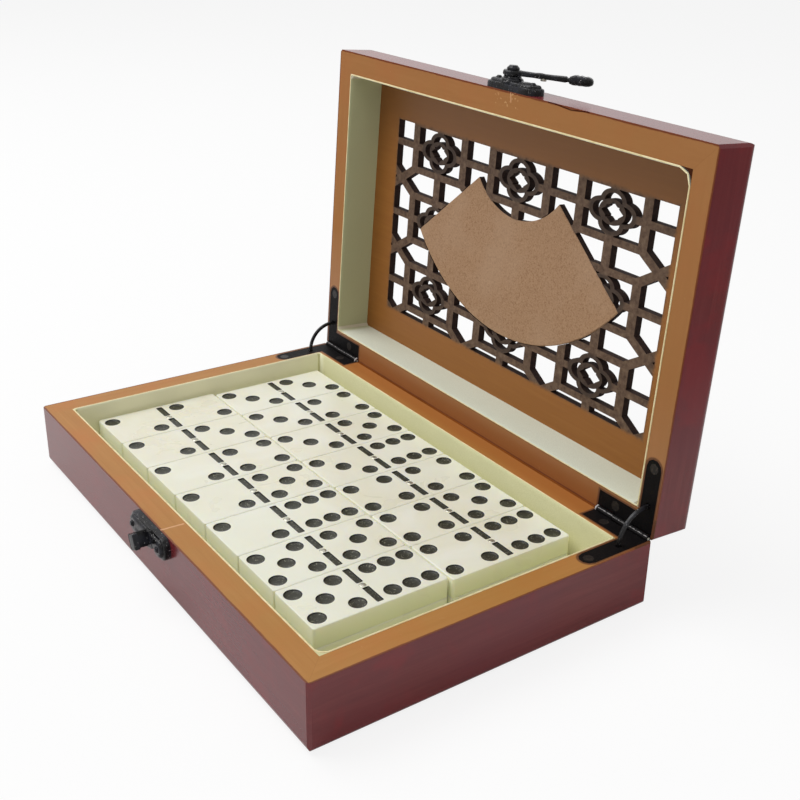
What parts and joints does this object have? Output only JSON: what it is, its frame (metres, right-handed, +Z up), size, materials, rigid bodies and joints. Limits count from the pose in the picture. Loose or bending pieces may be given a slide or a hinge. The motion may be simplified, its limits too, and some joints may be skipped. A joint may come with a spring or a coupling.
{
  "type": "domino storage box",
  "caption": "Hinged wooden storage box with a pierced lattice lid panel, fan-shaped plaque, two stop hinges, swing latch and a filled set of loose dominoes.",
  "frame": {"origin": "centre of the flat underside of the tray", "axes": "+X along the box to the right seen from the latch side, +Y from the latch to the hinges, +Z up; stored with the lid open against its stays"},
  "size_m": [0.21, 0.1707, 0.1644],
  "materials": {
    "maroon_lacquer": "gloss lacquer, caramel stain on the rims",
    "pale_felt": "flocked felt",
    "brown_board": "satin stain, burnt cut edges",
    "raw_board": "matt raw fibreboard",
    "black_metal": "gloss black",
    "pin_steel": "drawn steel",
    "ivory_tile": "polished ivory plastic, black pips"
  },
  "bodies": {
    "tray": {"base_bottom": "maroon_lacquer", "base_felt": "pale_felt", "base_liner": "pale_felt", "base_wall_back": "maroon_lacquer", "base_wall_front": "maroon_lacquer", "base_wall_left": "maroon_lacquer", "base_wall_right": "maroon_lacquer", "hinge_left_base_leaf": "black_metal", "hinge_left_pin": "pin_steel", "hinge_right_base_leaf": "black_metal", "hinge_right_pin": "pin_steel", "hinge_screws_base": "black_metal", "latch_catch": "black_metal", "latch_nails_base": "black_metal"},
    "lid": {"hinge_left_lid_leaf": "black_metal", "hinge_right_lid_leaf": "black_metal", "hinge_screws_lid": "black_metal", "latch_lid_plate": "black_metal", "latch_nails_lid": "black_metal", "latch_rivet": "black_metal", "lid_fan_plaque": "raw_board", "lid_fretwork": "brown_board", "lid_liner": "pale_felt", "lid_wall_back": "maroon_lacquer", "lid_wall_front": "maroon_lacquer", "lid_wall_left": "maroon_lacquer", "lid_wall_right": "maroon_lacquer"},
    "stay_left": {"hinge_left_stay": "black_metal"},
    "stay_right": {"hinge_right_stay": "black_metal"},
    "arm": {"latch_arm": "black_metal"},
    "tile_00": {"tile_00": "ivory_tile"},
    "tile_10": {"tile_10": "ivory_tile"},
    "tile_11": {"tile_11": "ivory_tile"},
    "tile_20": {"tile_20": "ivory_tile"},
    "tile_21": {"tile_21": "ivory_tile"},
    "tile_22": {"tile_22": "ivory_tile"},
    "tile_30": {"tile_30": "ivory_tile"},
    "tile_31": {"tile_31": "ivory_tile"},
    "tile_32": {"tile_32": "ivory_tile"},
    "tile_33": {"tile_33": "ivory_tile"},
    "tile_40": {"tile_40": "ivory_tile"},
    "tile_41": {"tile_41": "ivory_tile"},
    "tile_42": {"tile_42": "ivory_tile"},
    "tile_43": {"tile_43": "ivory_tile"},
    "tile_44": {"tile_44": "ivory_tile"},
    "tile_50": {"tile_50": "ivory_tile"},
    "tile_51": {"tile_51": "ivory_tile"},
    "tile_52": {"tile_52": "ivory_tile"},
    "tile_53": {"tile_53": "ivory_tile"},
    "tile_54": {"tile_54": "ivory_tile"},
    "tile_55": {"tile_55": "ivory_tile"},
    "tile_60": {"tile_60": "ivory_tile"},
    "tile_61": {"tile_61": "ivory_tile"},
    "tile_62": {"tile_62": "ivory_tile"},
    "tile_63": {"tile_63": "ivory_tile"},
    "tile_64": {"tile_64": "ivory_tile"},
    "tile_65": {"tile_65": "ivory_tile"},
    "tile_66": {"tile_66": "ivory_tile"}
  },
  "joints": [
    {"name": "lid_open", "type": "hinge", "parent": "tray", "child": "lid", "pos_m": [0, 0.06555, 0.0251], "axis": [-1, 0, 0], "range_deg": [-93.65, 0]},
    {"name": "stay_left_slide", "type": "hinge", "parent": "tray", "child": "stay_left", "pos_m": [0, 0.06555, 0.0251], "axis": [-1, 0, 0], "range_deg": [-46.83, 0]},
    {"name": "stay_right_slide", "type": "hinge", "parent": "tray", "child": "stay_right", "pos_m": [0, 0.06555, 0.0251], "axis": [-1, 0, 0], "range_deg": [-46.83, 0]},
    {"name": "latch_swing", "type": "hinge", "parent": "lid", "child": "arm", "pos_m": [0.0031, 0.07918, 0.16176], "axis": [0, 0.0637, 0.998], "range_deg": [-97.8, 100]},
    {"name": "tile_00_lift", "type": "slide", "parent": "tray", "child": "tile_00", "axis": [0, 0, 1], "range_m": [0, 0.05]},
    {"name": "tile_33_lift", "type": "slide", "parent": "tile_00", "child": "tile_33", "axis": [0, 0, 1], "range_m": [0, 0.05]},
    {"name": "tile_10_lift", "type": "slide", "parent": "tray", "child": "tile_10", "axis": [0, 0, 1], "range_m": [0, 0.05]},
    {"name": "tile_43_lift", "type": "slide", "parent": "tile_10", "child": "tile_43", "axis": [0, 0, 1], "range_m": [0, 0.05]},
    {"name": "tile_11_lift", "type": "slide", "parent": "tray", "child": "tile_11", "axis": [0, 0, 1], "range_m": [0, 0.05]},
    {"name": "tile_53_lift", "type": "slide", "parent": "tile_11", "child": "tile_53", "axis": [0, 0, 1], "range_m": [0, 0.05]},
    {"name": "tile_20_lift", "type": "slide", "parent": "tray", "child": "tile_20", "axis": [0, 0, 1], "range_m": [0, 0.05]},
    {"name": "tile_63_lift", "type": "slide", "parent": "tile_20", "child": "tile_63", "axis": [0, 0, 1], "range_m": [0, 0.05]},
    {"name": "tile_21_lift", "type": "slide", "parent": "tray", "child": "tile_21", "axis": [0, 0, 1], "range_m": [0, 0.05]},
    {"name": "tile_44_lift", "type": "slide", "parent": "tile_21", "child": "tile_44", "axis": [0, 0, 1], "range_m": [0, 0.05]},
    {"name": "tile_30_lift", "type": "slide", "parent": "tray", "child": "tile_30", "axis": [0, 0, 1], "range_m": [0, 0.05]},
    {"name": "tile_54_lift", "type": "slide", "parent": "tile_30", "child": "tile_54", "axis": [0, 0, 1], "range_m": [0, 0.05]},
    {"name": "tile_31_lift", "type": "slide", "parent": "tray", "child": "tile_31", "axis": [0, 0, 1], "range_m": [0, 0.05]},
    {"name": "tile_64_lift", "type": "slide", "parent": "tile_31", "child": "tile_64", "axis": [0, 0, 1], "range_m": [0, 0.05]},
    {"name": "tile_40_lift", "type": "slide", "parent": "tray", "child": "tile_40", "axis": [0, 0, 1], "range_m": [0, 0.05]},
    {"name": "tile_22_lift", "type": "slide", "parent": "tile_40", "child": "tile_22", "axis": [0, 0, 1], "range_m": [0, 0.05]},
    {"name": "tile_41_lift", "type": "slide", "parent": "tray", "child": "tile_41", "axis": [0, 0, 1], "range_m": [0, 0.05]},
    {"name": "tile_32_lift", "type": "slide", "parent": "tile_41", "child": "tile_32", "axis": [0, 0, 1], "range_m": [0, 0.05]},
    {"name": "tile_50_lift", "type": "slide", "parent": "tray", "child": "tile_50", "axis": [0, 0, 1], "range_m": [0, 0.05]},
    {"name": "tile_42_lift", "type": "slide", "parent": "tile_50", "child": "tile_42", "axis": [0, 0, 1], "range_m": [0, 0.05]},
    {"name": "tile_51_lift", "type": "slide", "parent": "tray", "child": "tile_51", "axis": [0, 0, 1], "range_m": [0, 0.05]},
    {"name": "tile_52_lift", "type": "slide", "parent": "tile_51", "child": "tile_52", "axis": [0, 0, 1], "range_m": [0, 0.05]},
    {"name": "tile_60_lift", "type": "slide", "parent": "tray", "child": "tile_60", "axis": [0, 0, 1], "range_m": [0, 0.05]},
    {"name": "tile_62_lift", "type": "slide", "parent": "tile_60", "child": "tile_62", "axis": [0, 0, 1], "range_m": [0, 0.05]},
    {"name": "tile_61_lift", "type": "slide", "parent": "tray", "child": "tile_61", "axis": [0, 0, 1], "range_m": [0, 0.05]},
    {"name": "tile_55_lift", "type": "slide", "parent": "tile_61", "child": "tile_55", "axis": [0, 0, 1], "range_m": [0, 0.05]},
    {"name": "tile_66_lift", "type": "slide", "parent": "tray", "child": "tile_66", "axis": [0, 0, 1], "range_m": [0, 0.05]},
    {"name": "tile_65_lift", "type": "slide", "parent": "tile_66", "child": "tile_65", "axis": [0, 0, 1], "range_m": [0, 0.05]}
  ],
  "couplings": [
    {"joint": "stay_left_slide", "follows": "lid_open", "ratio": 0.5},
    {"joint": "stay_right_slide", "follows": "lid_open", "ratio": 0.5}
  ]
}
